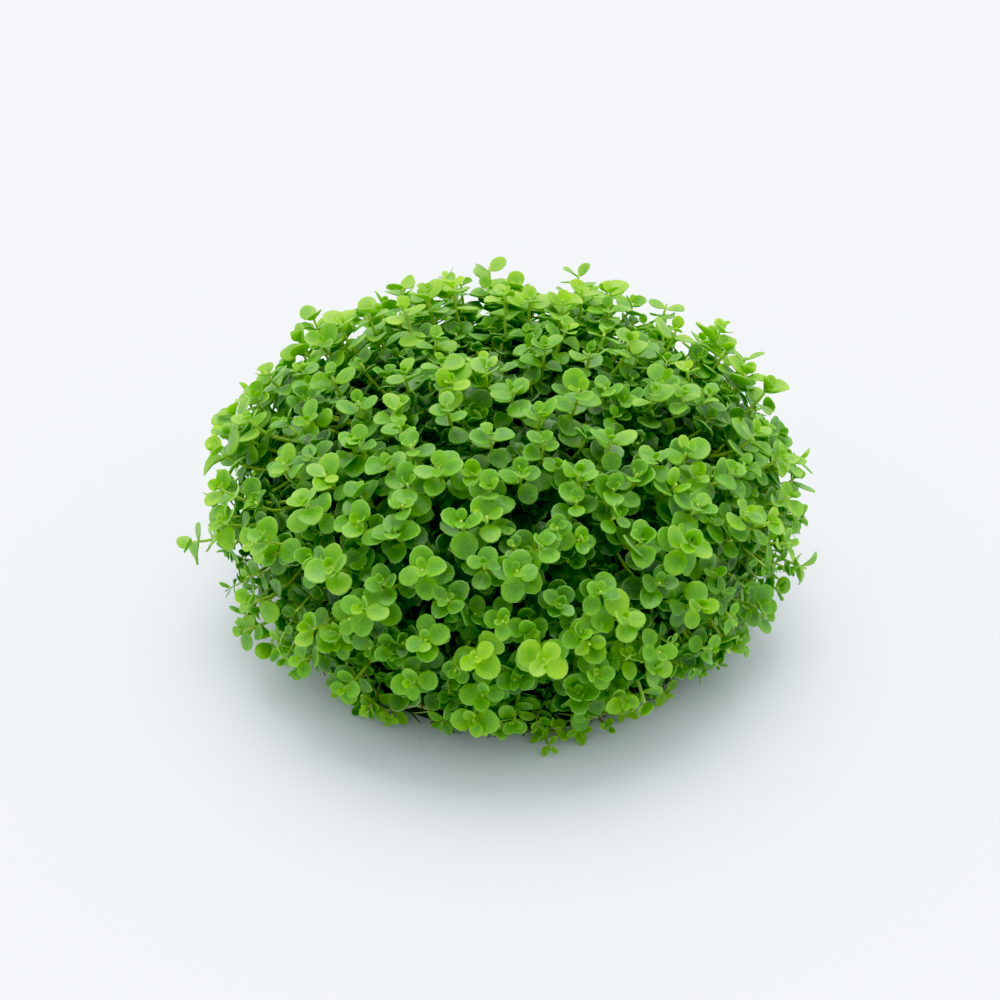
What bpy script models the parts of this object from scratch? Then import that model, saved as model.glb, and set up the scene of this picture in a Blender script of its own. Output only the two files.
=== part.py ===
"""Dwarf baby tears: one domed tuft, with its root mat, free sprigs and runners."""
import math
import random

import bmesh
import bpy
from mathutils import Quaternion, Vector
from mathutils.bvhtree import BVHTree

# Driving dimensions, in metres

MM = 0.001
TUFT_RADIUS = 36.8 * MM  # to the leaf tips at the waist
WAIST_HEIGHT = 14.0 * MM  # the widest level above the surface
CROWN_RISE = 22.9 * MM  # from the waist to the top
SKIRT_DROP = 13.8 * MM  # from the waist to where the form would close below
ROUNDNESS = 2.5  # 2 is an ellipse, more is squarer

MAT_RADIUS = 26.5 * MM
MAT_HEIGHT = 5.0 * MM
GAP = 0.3 * MM  # between neighbouring solids

LEAF_LENGTH = 3.4 * MM
LEAF_WIDTH = 3.0 * MM
LEAF_THICKNESS = 0.45 * MM
STEM_RADIUS = 0.35 * MM
RUNNER_RADIUS = 0.4 * MM

# The cushion is a closed form of cells, with a raised, tilted leaf on each cell.
# Levels are in degrees above the middle of the waist.
LEAVES = 430
LEAF_LEVELS = (-9.0, 89.0)
LEAF_SINK = 2.9 * MM  # from the leaf tips in to the form that the leaves stand on
LEAF_RISE = (0.9 * MM, 2.4 * MM)
LEAF_SLOPE = (0.3, 0.7)
LEAF_SHARE = 0.81  # of its cell
SKIRT_LEAVES = 42  # the lowest row
SKIRT_LEVEL = -17.0
SKIRT_HANG = 2.6 * MM  # below the cell that the leaf grows from
SKIRT_SLOPE = -0.25
UNDERSIDE_RADIUS = 29.8 * MM
SPRIG_ROOM = 0.10  # with no other leaf round a free sprig, in radians
HOLLOW_ROOM = 0.10  # the same round the middle of a hollow
HOLLOW_DEPTH = 4.6 * MM  # below the form that the leaves stand on

UP = Vector((0.0, 0.0, 1.0))

# The free sprigs, chosen by eye: bearing and level as seen from the middle of
# the waist in degrees (bearing 0 is +X, -90 the front), length in mm, the turn
# of the leaf pairs about the stem, and how far the stem bends up (+) or down (-)
# over its length, both in degrees.
SPRIGS = [
    # over the skirt
    (-171, -1, 7.0, 20, 5),
    (-148, -8, 4.7, 70, -40),
    (-97, -9, 4.5, 50, -20),
    (-62, -7, 4.7, 85, -35),
    (-38, -7, 4.3, 30, -30),
    (-13, -3, 6.7, 60, -15),
    (40, -8, 4.1, 40, -30),
    (138, -5, 4.1, 55, -10),
    # round the waist
    (-120, 10, 4.1, 80, 0),
    (-75, 9, 4.1, 25, 5),
    (3, 9, 4.9, 85, 10),
    (70, 11, 4.1, 70, 10),
    (119, 10, 4.1, 60, 15),
    (167, 12, 4.9, 50, 20),
    # round the shoulder
    (-140, 29, 4.1, 15, 20),
    (-95, 30, 4.1, 30, 20),
    (-45, 29, 4.1, 75, 15),
    (17, 24, 5.5, 90, 25),
    (43, 29, 5.1, 25, 25),
    (70, 31, 5.1, 65, 20),
    (95, 33, 5.3, 35, 20),
    (120, 30, 4.7, 5, 25),
    (146, 27, 5.9, 55, 20),
]

# The deep gaps between the shoots, chosen by eye: bearing and level in degrees.
HOLLOWS = [
    # the front, as in the photo
    (-67, 25), (-86, 18), (-107, 19), (-129, 19), (-112, 40), (-117, 56), (-50, 15), (-58, 44),
    (-28, 44), (-160, 44), (-85, 43), (-50, 73), (-134, 4),
    # the sides, the back and the crown
    (-22, 14), (-2, 30), (22, 6), (48, 12), (57, 45), (92, 14), (108, 47), (135, 10), (158, 45),
    (155, -1), (-176, 30), (-156, 12), (100, 72), (20, 66), (-175, 60),
]

# The runners: bearing in degrees, distance from the mat's edge and height in mm
# at each point that the stem passes.
RUNNERS = [
    [(-35, 0.2, 3.9), (-46, 1.1, 2.8), (-57, 1.3, 1.6), (-68, 1.1, 0.8), (-80, 1.3, 0.6)],
    [(-110, 0.7, 2.8), (-119, 1.2, 1.6), (-128, 1.4, 0.8), (-138, 1.1, 0.6)],
    [(178, 0.3, 3.2), (169, 1.1, 2.0), (159, 1.4, 0.9), (148, 1.2, 0.6)],
    [(104, 0.7, 2.6), (96, 1.2, 1.4), (86, 1.5, 0.7), (76, 1.2, 0.6)],
    [(34, 0.7, 3.0), (25, 1.2, 1.8), (15, 1.4, 0.8), (5, 1.1, 0.6)],
]


# The form of the tuft

def direction(bearing, level):
    """The way that a bearing and a level point, both in degrees."""
    flat = Vector((math.cos(math.radians(bearing)), math.sin(math.radians(bearing)), 0.0))
    return flat * math.cos(math.radians(level)) + UP * math.sin(math.radians(level))


def on_tuft(bearing, level, inset=0.0):
    """A point of the tuft's form, inset from the leaf tips, and the way out of it there."""
    across, rise = math.cos(math.radians(level)), math.sin(math.radians(level))
    radius = TUFT_RADIUS - inset
    height = (CROWN_RISE if rise >= 0 else SKIRT_DROP) - inset
    reach = ((across / radius) ** ROUNDNESS + (abs(rise) / height) ** ROUNDNESS) ** (-1 / ROUNDNESS)
    across, rise = across * reach, rise * reach
    slope = across ** (ROUNDNESS - 1) / radius ** ROUNDNESS
    tilt = math.copysign(abs(rise) ** (ROUNDNESS - 1), rise) / height ** ROUNDNESS
    side = direction(bearing, 0.0)
    point = side * across + UP * (WAIST_HEIGHT + rise)
    return point, (side * slope + UP * tilt).normalized()


def mat_edge(bearing):
    """How far the uneven edge of the mat is from the middle."""
    turn = math.radians(bearing)
    return MAT_RADIUS * (1.0 + 0.016 * math.sin(3.0 * turn + 0.6) + 0.012 * math.sin(7.0 * turn))


def even_places(count, lowest, highest):
    """Bearings and levels spread evenly over the form in a sunflower pattern."""
    steps = 2000
    levels = [lowest + (highest - lowest) * k / steps for k in range(steps + 1)]
    outline = [on_tuft(0.0, level)[0] for level in levels]
    areas = [0.5 * (a.x + b.x) * (b - a).length for a, b in zip(outline, outline[1:])]
    share = sum(areas) / count
    golden_turn = 180.0 * (3.0 - math.sqrt(5.0))
    places, passed = [], 0.0
    for level, area in zip(levels, areas):
        passed += area
        if passed > share * (len(places) + 0.5):
            places.append((golden_turn * len(places) % 360.0, level))
    return places


# Small shapes

def add_tube(bm, points, radii, across):
    """A closed four-sided tube along points, its first side facing across. Returns its sides."""
    rings = []
    for i, point in enumerate(points):
        ahead = (points[min(i + 1, len(points) - 1)] - points[max(i - 1, 0)]).normalized()
        x = (across - ahead * across.dot(ahead)).normalized()
        y = ahead.cross(x)
        corners = ((x - y), (x + y), (y - x), (-x - y))
        rings.append([bm.verts.new(point + corner.normalized() * radii[i]) for corner in corners])
    sides = []
    for before, after in zip(rings, rings[1:]):
        corners = list(zip(before, before[1:] + before[:1], after[1:] + after[:1], after))
        sides.append([bm.faces.new(corner) for corner in corners])
    bm.faces.new(rings[0][::-1])
    bm.faces.new(rings[-1])
    return sides


def grow_leaf(bm, face, along, over, size):
    """Draw a side of a stem out into a round blade: two wide sections, then the tip."""
    foot = face.calc_center_median()
    along = along.normalized()
    side = over.cross(along).normalized()
    over = along.cross(side)
    left = [math.copysign(1.0, side.dot(vert.co - foot)) for vert in face.verts]
    top = [math.copysign(1.0, over.dot(vert.co - foot)) for vert in face.verts]
    for reach, width in ((0.28, 0.84), (0.72, 0.9)):
        face = bmesh.ops.extrude_discrete_faces(bm, faces=[face])["faces"][0]
        middle = foot + along * (reach * LEAF_LENGTH * size)
        for vert, a, b in zip(face.verts, left, top):
            vert.co = (middle + side * (0.5 * a * width * LEAF_WIDTH * size)
                       + over * (0.5 * b * LEAF_THICKNESS))
    tip = bmesh.ops.poke(bm, faces=[face])["verts"][0]
    tip.co = foot + along * (LEAF_LENGTH * size)


def smooth_path(points, steps):
    """Points along a Catmull-Rom curve through the given ones."""
    padded = [points[0] * 2 - points[1]] + points + [points[-1] * 2 - points[-2]]
    path = []
    for a, b, c, d in zip(padded, padded[1:], padded[2:], padded[3:]):
        for k in range(steps):
            t = k / steps
            path.append(0.5 * (b * 2 + (c - a) * t + (a * 2 - b * 5 + c * 4 - d) * t * t
                               + (b * 3 - a - c * 3 + d) * t ** 3))
    return path + [points[-1]]


# Objects and materials

def make_material(name, colour, roughness):
    material = bpy.data.materials.new(name)
    material.use_nodes = True
    shader = material.node_tree.nodes["Principled BSDF"]
    shader.inputs["Base Color"].default_value = (*colour, 1.0)
    shader.inputs["Roughness"].default_value = roughness
    shader.inputs["Metallic"].default_value = 0.0
    return material


def make_object(name, bm, material=None):
    bmesh.ops.recalc_face_normals(bm, faces=bm.faces)
    mesh = bpy.data.meshes.new(name)
    bm.to_mesh(mesh)
    bm.free()
    ob = bpy.data.objects.new(name, mesh)
    bpy.context.scene.collection.objects.link(ob)
    if material:
        mesh.materials.append(material)
    return ob


# The pieces

def make_root_mat(material):
    """A flat pad with an uneven edge."""
    bm = bmesh.new()
    rings = []
    for spread, height in ((0.985, 0.0), (1.0, 0.45), (0.97, 1.0)):
        ring = []
        for bearing in range(0, 360, 10):
            edge = direction(bearing, 0.0) * (mat_edge(bearing) * spread)
            ring.append(bm.verts.new(edge + UP * (MAT_HEIGHT * height)))
        rings.append(ring)
    for lower, upper in zip(rings, rings[1:]):
        for corners in zip(lower, lower[1:] + lower[:1], upper[1:] + upper[:1], upper):
            bm.faces.new(corners)
    bm.faces.new(rings[0][::-1])
    bm.faces.new(rings[-1])
    return make_object("root_mat", bm, material)


def cushion_seeds():
    """Where the cushion's cells are, as directions: hollows, sprig feet, skirt, the rest."""
    hollows = [direction(*row) for row in HOLLOWS]
    feet = [direction(row[0], row[1]) for row in SPRIGS]
    skirt = [direction(360.0 * k / SKIRT_LEAVES, SKIRT_LEVEL) for k in range(SKIRT_LEAVES)]
    rest = []
    for bearing, level in even_places(LEAVES, *LEAF_LEVELS):
        seed = direction(bearing, level)
        clear_of_feet = min(seed.angle(foot) for foot in feet) > SPRIG_ROOM
        if clear_of_feet and min(seed.angle(hollow) for hollow in hollows) > HOLLOW_ROOM:
            rest.append(seed)
    return hollows, feet, skirt, rest


def cushion_cells(hollows, others):
    """A closed form with one many-sided cell for each seed and a flat underside.

    The seeds and one point straight down are the corners of a rounded hull. Each
    triangle of the hull gives a corner of the form, and each seed gives the cell
    whose corners are the triangles round it. The cells of the hollows are sunk.
    """
    hull = bmesh.new()
    sunk = [hull.verts.new(seed) for seed in hollows]
    corners = sunk + [hull.verts.new(seed) for seed in others]
    foot = hull.verts.new(-UP)
    bmesh.ops.convex_hull(hull, input=hull.verts[:])
    bm = bmesh.new()
    form_corners = {}
    for face in hull.faces:
        middle = sum((vert.co for vert in face.verts if vert is not foot), Vector())
        bearing = math.degrees(math.atan2(middle.y, middle.x))
        if foot in face.verts:
            place = direction(bearing, 0.0) * UNDERSIDE_RADIUS + UP * (MAT_HEIGHT + GAP)
        else:
            level = math.degrees(math.asin(middle.normalized().z))
            depth = HOLLOW_DEPTH if any(vert in sunk for vert in face.verts) else 0.0
            place = on_tuft(bearing, level, LEAF_SINK + depth)[0]
        form_corners[face] = bm.verts.new(place)
    cells = []
    for corner in corners + [foot]:
        loop = corner.link_loops[0]
        around = []
        for _ in corner.link_loops:
            around.append(form_corners[loop.face])
            loop = loop.link_loop_prev.link_loop_radial_next
        cells.append(bm.faces.new(around))
    hull.free()
    bmesh.ops.recalc_face_normals(bm, faces=bm.faces)
    return bm, cells


def form_under(cell):
    """The middle of a cell set back onto the form, and the way out of the form there."""
    away = cell.calc_center_median() - UP * WAIST_HEIGHT
    bearing = math.degrees(math.atan2(away.y, away.x))
    return on_tuft(bearing, math.degrees(math.asin(away.normalized().z)), LEAF_SINK)


def raise_leaf(bm, cell, middle, out, rise, slope, hang=0.0):
    """Draw a cell out into a flat leaf: smaller, rounder and tilted along slope."""
    leaf = bmesh.ops.extrude_discrete_faces(bm, faces=[cell])["faces"][0]
    arms = [vert.co - middle for vert in leaf.verts]
    arms = [arm - out * out.dot(arm) for arm in arms]
    mean = sum(arm.length for arm in arms) / len(arms)
    for vert, arm in zip(leaf.verts, arms):
        arm = arm * (LEAF_SHARE * 0.5 * (1.0 + mean / arm.length))
        vert.co = middle + arm + out * (rise + slope.dot(arm)) - UP * hang


def make_cushion(material):
    """The closed mass of shoots, with a leaf on each cell that is no hollow and no sprig's foot."""
    hollows, feet, skirt, rest = cushion_seeds()
    bm, cells = cushion_cells(hollows, feet + skirt + rest)
    dice = random.Random(7)
    first_skirt = len(hollows) + len(feet)
    first_rest = first_skirt + len(skirt)
    for cell in cells[first_skirt:first_rest]:
        middle, out = cell.calc_center_median(), cell.normal.copy()
        slope = out.cross(UP.cross(out).normalized()) * SKIRT_SLOPE
        raise_leaf(bm, cell, middle, out, dice.uniform(*LEAF_RISE), slope, SKIRT_HANG)
    for cell in cells[first_rest:-1]:
        middle, out = form_under(cell)
        side = UP.cross(out).normalized()
        slope = Quaternion(out, dice.uniform(0.0, math.tau)) @ side * dice.uniform(*LEAF_SLOPE)
        raise_leaf(bm, cell, middle, out, dice.uniform(*LEAF_RISE), slope)
    return make_object("leaf_cushion", bm, material)


def make_sprig(name, row, surface, material):
    """A thin stem with a full pair of leaves and a small pair across it."""
    bearing, level, length, turn, bend = row
    tip, out = on_tuft(bearing, level)
    way_out = direction(bearing, level)
    ground, slope, _, _ = surface.ray_cast(tip + way_out * LEAF_LENGTH, -way_out)
    base = ground + slope * GAP
    side = UP.cross(out).normalized()
    lift = out.cross(side)

    # The path passes a short band for each leaf pair, near the top and at the top.
    points, headings = [base], [out]
    path, radii = [0.0, 0.72, 0.85, 1.0], [1.0, 0.9, 0.85, 0.7]
    for start, end in zip(path, path[1:]):
        swing = math.radians(bend) * 0.5 * (start + end)
        headings.append(out * math.cos(swing) + lift * math.sin(swing))
        points.append(points[-1] + headings[-1] * ((end - start) * length * MM))
    across = side * math.cos(math.radians(turn)) + lift * math.sin(math.radians(turn))
    bm = bmesh.new()
    sides = add_tube(bm, points, [STEM_RADIUS * r for r in radii], across)
    for band, first, size, lean in ((1, 0, 1.0, 0.3), (2, 1, 0.75, 0.7)):
        axis = headings[band + 1]
        for face in (sides[band][first], sides[band][first + 2]):
            face.normal_update()
            way = (face.normal - axis * face.normal.dot(axis)).normalized()
            grow_leaf(bm, face, way + axis * lean, axis - way * lean, size)
    return make_object(name, bm, material)


def make_runner(name, row, material):
    """A creeping stem that lies along the surface round the mat."""
    points = []
    for bearing, distance, height in row:
        points.append(direction(bearing, 0.0) * (mat_edge(bearing) + distance * MM) + UP * (height * MM))
    path = smooth_path(points, 3)
    radii = [RUNNER_RADIUS * (1.0 - 0.35 * k / len(path)) for k in range(len(path))]
    bm = bmesh.new()
    add_tube(bm, path, radii, UP)
    return make_object(name, bm, material)


def main():
    for ob in list(bpy.data.objects):
        bpy.data.objects.remove(ob)
    foliage = make_material("foliage", (0.105, 0.27, 0.028), 0.55)
    roots = make_material("matted_roots", (0.035, 0.027, 0.015), 0.9)
    stems = make_material("pale_stem", (0.42, 0.46, 0.2), 0.6)
    make_root_mat(roots)
    cushion = make_cushion(foliage)
    surface = BVHTree.FromPolygons([vert.co for vert in cushion.data.vertices],
                                   [face.vertices for face in cushion.data.polygons])
    for i, row in enumerate(SPRIGS, 1):
        make_sprig(f"sprig_{i:02d}", row, surface, foliage)
    for i, row in enumerate(RUNNERS, 1):
        make_runner(f"runner_{i:02d}", row, stems)


main()
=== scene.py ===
# %% [markdown]
# # A tuft of dwarf baby tears
# Dwarf baby tears is a carpeting plant for aquariums. Grown out of water it makes a
# low dome of hundreds of thin stems, each with crossed pairs of small round leaves,
# over a flat mat of roots. Its thousands of leaves are copies of one blade, bent and
# placed with arrays of numbers, which is the quickest way to make so many.

# %% Load the solid tuft
import math

import bmesh
import bpy
import numpy as np
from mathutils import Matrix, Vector, noise


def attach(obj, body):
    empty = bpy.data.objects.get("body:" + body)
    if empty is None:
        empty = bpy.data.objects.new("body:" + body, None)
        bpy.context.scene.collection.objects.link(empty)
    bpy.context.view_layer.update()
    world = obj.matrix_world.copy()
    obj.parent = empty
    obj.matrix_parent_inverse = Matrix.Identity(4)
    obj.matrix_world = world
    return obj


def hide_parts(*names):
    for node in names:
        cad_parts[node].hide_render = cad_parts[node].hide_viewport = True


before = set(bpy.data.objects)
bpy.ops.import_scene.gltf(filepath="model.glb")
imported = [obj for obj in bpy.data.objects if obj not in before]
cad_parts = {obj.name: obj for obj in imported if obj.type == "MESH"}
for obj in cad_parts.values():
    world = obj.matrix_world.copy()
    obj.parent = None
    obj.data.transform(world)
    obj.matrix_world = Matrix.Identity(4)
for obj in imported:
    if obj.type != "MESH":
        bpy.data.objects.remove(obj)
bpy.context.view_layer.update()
MM = 0.001

# %% [markdown]
# ## The form of the tuft
# The leaf tips lie on a rounded form, wide at the waist and drawn in below it, as in
# the solid cushion. A place on it is a bearing round the tuft (0 is to the right, -90
# the front) and a level seen from the waist's middle, both in degrees. An inset goes
# in from the leaf tips.

# %% Places on the form
TUFT_RADIUS = 36.8 * MM
WAIST_HEIGHT = 14.0 * MM
CROWN_RISE = 22.9 * MM
SKIRT_DROP = 13.8 * MM
ROUNDNESS = 2.5
WAIST = np.array([0.0, 0.0, WAIST_HEIGHT])
UP = np.array([0.0, 0.0, 1.0])
dice = np.random.default_rng(11)


def some(low, high, count):
    return dice.uniform(low, high, count)


def spread(width, count):
    return dice.normal(0.0, width, count)


def add_object(name, data):
    item = bpy.data.objects.new(name, data)
    bpy.context.scene.collection.objects.link(item)
    return item


def unit(v):
    return v / np.maximum(np.linalg.norm(v, axis=-1, keepdims=True), 1e-12)


def direction(bearing, level):
    """The way that bearings and levels point."""
    b, l = np.radians(bearing), np.radians(level)
    return np.stack([np.cos(l) * np.cos(b), np.cos(l) * np.sin(b), np.sin(l)], -1)


def form_value(points, inset):
    """Under 1 inside the form and over 1 outside it."""
    away = points - WAIST
    height = np.where(away[..., 2] >= 0, CROWN_RISE, SKIRT_DROP) - inset
    across = np.hypot(away[..., 0], away[..., 1]) / (TUFT_RADIUS - inset)
    return across**ROUNDNESS + (np.abs(away[..., 2]) / height) ** ROUNDNESS


def inset_of(points):
    """Roughly how deep under the leaf tips points lie."""
    share = form_value(points, 0.0) ** (1.0 / ROUNDNESS)
    return (1.0 - share) * np.linalg.norm(points - WAIST, axis=-1) / np.maximum(share, 0.2)


def on_form(bearing, level, inset=0.0):
    """Points of the form and the way out of it there."""
    way = direction(bearing, level)
    inset = np.broadcast_to(inset, way.shape[:-1])
    reach = form_value(WAIST + way, inset) ** (-1 / ROUNDNESS)
    away = way * reach[..., None]
    height = np.where(away[..., 2] >= 0, CROWN_RISE, SKIRT_DROP) - inset
    flat = np.hypot(away[..., 0], away[..., 1])
    steep = flat ** (ROUNDNESS - 2) / (TUFT_RADIUS - inset) ** ROUNDNESS
    out = away * steep[..., None]
    out[..., 2] = np.sign(away[..., 2]) * np.abs(away[..., 2]) ** (ROUNDNESS - 1) / height**ROUNDNESS
    return WAIST + away, unit(out)


print("crown at mm:", round(float(on_form(0.0, 90.0)[0][2] / MM), 1))

# %% [markdown]
# ## The camera
# The photo looks down on the tuft from 35 degrees above the table. Its rim hardly
# narrows towards the back, so the lens is long. The heads of shoots that stand out
# are placed by their pixel: a ray from the camera through the pixel meets the form.

# %% Camera and rays through pixels
LOOK_AT = np.array([0.0, 0.0, 16.0]) * MM
LOOK_AT_PIXEL = (507.0, 497.0)
PICTURE = 1000.0
CAMERA_LEVEL = 35.0
CAMERA_DISTANCE = 350.0 * MM
LENS, SENSOR = 100.0, 36.0
NEAREST, FARTHEST, RAY_STEP = 0.29, 0.42, 0.0001  # metres from the camera, round the tuft

way_to_camera = direction(-90.0, CAMERA_LEVEL)
camera_place = LOOK_AT + way_to_camera * CAMERA_DISTANCE
view_up = np.array([0.0, math.sin(math.radians(CAMERA_LEVEL)), math.cos(math.radians(CAMERA_LEVEL))])
view_right = np.array([1.0, 0.0, 0.0])

camera_data = bpy.data.cameras.new("camera")
camera_data.lens, camera_data.sensor_width = LENS, SENSOR
camera_data.shift_x = (PICTURE / 2 - LOOK_AT_PIXEL[0]) / PICTURE
camera_data.shift_y = (LOOK_AT_PIXEL[1] - PICTURE / 2) / PICTURE
camera_data.clip_start, camera_data.clip_end = 0.01, 10.0
camera = add_object("camera", camera_data)
camera.location = camera_place
camera.rotation_euler = (math.radians(90.0 - CAMERA_LEVEL), 0.0, 0.0)
bpy.context.scene.camera = camera


def way_through(x, y):
    """The way of the camera's ray through a pixel."""
    pixels = PICTURE * LENS / SENSOR
    across, rise = (x - LOOK_AT_PIXEL[0]) / pixels, (LOOK_AT_PIXEL[1] - y) / pixels
    return unit(-way_to_camera + view_right * across + view_up * rise)


def meet_form(x, y, lift):
    """Where the ray through a pixel first meets the form, lifted off it, or comes nearest."""
    far = np.arange(NEAREST, FARTHEST, RAY_STEP)
    points = camera_place + way_through(x, y) * far[:, None]
    inside = form_value(points, -lift)
    hit = np.argmax(inside <= 1.0) if (inside <= 1.0).any() else np.argmin(inside)
    return points[hit]


print("camera at mm:", np.round(camera_place / MM, 1))

# %% [markdown]
# ## One leaf blade
# A leaf is nearly round, has no stalk and is thick enough to show an edge. A disc
# from `create_circle` is thickened with `solidify`, and `inset_region` and `poke`
# give its top two rings and a middle to bend. It has few faces, because it is
# repeated thousands of times, and leaves deep in the tuft get a plainer blade.

# %% Make the blade
BLADE_THICKNESS = 0.055  # of its length
NARROW_FOOT = 0.55  # width of the foot, as a share of the full width
FOOT_LENGTH = 0.35  # share of the length over which the foot widens
RINGS = (0.045, 0.17)  # how far in the rings of the upper side lie


class Template:
    """A small mesh to copy many times: points, face corners and corners per face."""

    def __init__(self, bm):
        bmesh.ops.recalc_face_normals(bm, faces=bm.faces)
        self.points = np.array([vert.co for vert in bm.verts])
        bm.verts.index_update()
        faces = []
        for face in bm.faces:  # the operators list them in no fixed order, so they are sorted
            corners = [vert.index for vert in face.verts]
            first = corners.index(min(corners))
            faces.append(corners[first:] + corners[:first])
        faces.sort()
        self.corners = np.array([corner for face in faces for corner in face])
        self.counts = np.array([len(face) for face in faces])
        bm.free()


def make_blade(sides, rings):
    """A flat round blade, with its foot at 0 and its tip at 1 along y."""
    bm = bmesh.new()
    bmesh.ops.create_circle(bm, cap_ends=True, segments=sides, radius=0.5)
    bmesh.ops.solidify(bm, geom=bm.faces[:], thickness=BLADE_THICKNESS)
    by_height = sorted(bm.faces, key=lambda face: face.calc_center_median().z)
    under, top = by_height[0], by_height[-1]
    for width in rings:
        bmesh.ops.inset_region(bm, faces=[top], thickness=width)
    bmesh.ops.poke(bm, faces=[top, under])
    middle = sum(vert.co.z for vert in bm.verts) / len(bm.verts)
    for vert in bm.verts:
        vert.co.z -= middle
        vert.co.y += 0.5
        foot = min(vert.co.y / FOOT_LENGTH, 1.0)
        vert.co.x *= NARROW_FOOT + (1.0 - NARROW_FOOT) * foot * foot * (3.0 - 2.0 * foot)
    return Template(bm)


blade = make_blade(12, RINGS)
deep_blade = make_blade(8, ())
print("faces of a leaf:", len(blade.counts), "and of a deep one:", len(deep_blade.counts))

# %% [markdown]
# ## Placing thousands of blades
# Each leaf has a foot, a way that it points, an upper side, a length, and three
# numbers that bend it: cup lifts its sides, arch bends its tip down and fold creases
# it along the middle. The numbers of all leaves are worked on at once.

# %% Bend and place the blades
CUP_CURVE = 2.0
ARCH_SHORTENS = 0.25

def place_blades(template, foot, along, over, length, width, cup, arch, fold):
    """The points of one bent blade for each row of the arrays."""
    x = template.points[None, :, 0] * width[:, None]
    y = np.repeat(template.points[None, :, 1], len(foot), 0)
    z = np.repeat(template.points[None, :, 2], len(foot), 0)
    z = z + cup[:, None] * x * x * CUP_CURVE + fold[:, None] * np.abs(x)
    z = z - arch[:, None] * y * y
    y = y * (1.0 - ARCH_SHORTENS * np.abs(arch[:, None]) * y)
    side = np.cross(along, over)
    local = side[:, None] * x[..., None] + along[:, None] * y[..., None] + over[:, None] * z[..., None]
    return foot[:, None] + local * length[:, None, None]


print("points to bend in a leaf:", len(blade.points))

# %% [markdown]
# ## Stems
# A stem is a thin round tube. The straight tube is a five-sided circle extruded ring
# by ring, and one of four sides is enough for roots and old stems. Each copy is then
# laid along its own curve.

# %% Make the tube and lay it along curves
STEM_RINGS, STEM_SIDES = 8, 5
FINE_RINGS, FINE_SIDES = 5, 4


def make_tube(sides, rings):
    """A straight tube of radius 1 with a ring of points at each whole height."""
    bm = bmesh.new()
    bmesh.ops.create_circle(bm, cap_ends=True, segments=sides, radius=1.0)
    end = bm.faces[:]
    for ring in range(1, rings):
        grown = bmesh.ops.extrude_face_region(bm, geom=end, use_keep_orig=ring == 1)["geom"]
        end = [item for item in grown if isinstance(item, bmesh.types.BMFace)]
        bmesh.ops.translate(bm, vec=(0.0, 0.0, 1.0), verts=end[0].verts[:])
    return Template(bm)


def lay_tubes(tube, paths, radii, across):
    """The points of one tube for each path. Each path has a point for each ring."""
    ahead = unit(np.gradient(paths, axis=1))
    x = unit(across[:, None] - ahead * (ahead * across[:, None]).sum(-1, keepdims=True))
    y = np.cross(ahead, x)
    ring = np.round(tube.points[:, 2]).astype(int)
    wide = x[:, ring] * tube.points[None, :, 0, None] + y[:, ring] * tube.points[None, :, 1, None]
    return paths[:, ring] + wide * radii[:, ring, None]


stem_tube = make_tube(STEM_SIDES, STEM_RINGS)
fine_tube = make_tube(FINE_SIDES, FINE_RINGS)
print("faces of a stem:", len(stem_tube.counts), "and of a root:", len(fine_tube.counts))

# %% [markdown]
# ## One mesh from many copies
# The copies are joined as arrays: the corner numbers of the template are repeated,
# each time counted on by its number of points. The material reads two things: every
# point's tone, from dark old green to fresh lime, which also carries painted light
# and shade, and a map called blade, with the place across and along the blade or the
# stem.

# %% Join copies in one object
LEAF_SLOT, STEM_SLOT = 0, 1


def join_copies(name, parts, materials):
    """One object from parts, each a template, its placed points, a material slot and tones."""
    rows, before = [], 0
    for template, placed, slot, tone in parts:
        copies, size = placed.shape[:2]
        starts = before + size * np.arange(copies)
        pattern = template.points[template.corners]
        if slot == STEM_SLOT:
            pattern = pattern[:, [0, 2]] * (0.5, 1.0 / template.points[:, 2].max())
        else:
            pattern = pattern[:, :2] + (0.5, 0.0)
        rows.append((
            placed.reshape(-1, 3),
            (template.corners[None, :] + starts[:, None]).ravel(),
            np.tile(template.counts, copies),
            np.full(copies * len(template.counts), slot),
            np.repeat(tone, size),
            np.tile(pattern, (copies, 1)),
        ))
        before += copies * size
    points, corners, counts, slots, tones, maps = [np.concatenate(column) for column in zip(*rows)]
    mesh = bpy.data.meshes.new(name)
    mesh.vertices.add(len(points))
    mesh.vertices.foreach_set("co", points.ravel())
    mesh.loops.add(len(corners))
    mesh.loops.foreach_set("vertex_index", corners.astype(np.int32))
    mesh.polygons.add(len(counts))
    mesh.polygons.foreach_set("loop_start", (np.cumsum(counts) - counts).astype(np.int32))
    mesh.polygons.foreach_set("material_index", slots.astype(np.int32))
    mesh.update(calc_edges=True)
    mesh.shade_smooth()
    mesh.attributes.new("tone", "FLOAT", "POINT").data.foreach_set("value", tones)
    mesh.uv_layers.new(name="blade").data.foreach_set("uv", maps.ravel())
    for material in materials:
        mesh.materials.append(material)
    piece = add_object(name, mesh)
    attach(piece, "root")
    return piece


print("material slots: leaf", LEAF_SLOT, "and stem", STEM_SLOT)

# %% [markdown]
# ## Looks shared by the leaves, stems and roots
# Materials are built in node code, with a few helpers that add a node, plug it and
# do sums with its sockets. A node or socket knows its tree by `id_data`.

# %% Helpers for node trees


def add_node(tree, kind, **settings):
    node = tree.nodes.new("ShaderNode" + kind)
    for key, value in settings.items():
        setattr(node, key, value)
    return node


def plug(node, **inputs):
    """Set a node's inputs: a socket is linked, and anything else is set as its value."""
    for key, value in inputs.items():
        socket = node.inputs[int(key[1:])] if key[1:].isdigit() else node.inputs[key.replace("_", " ")]
        if isinstance(value, bpy.types.NodeSocket):
            node.id_data.links.new(value, socket)
        else:
            socket.default_value = value
    return node


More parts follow.
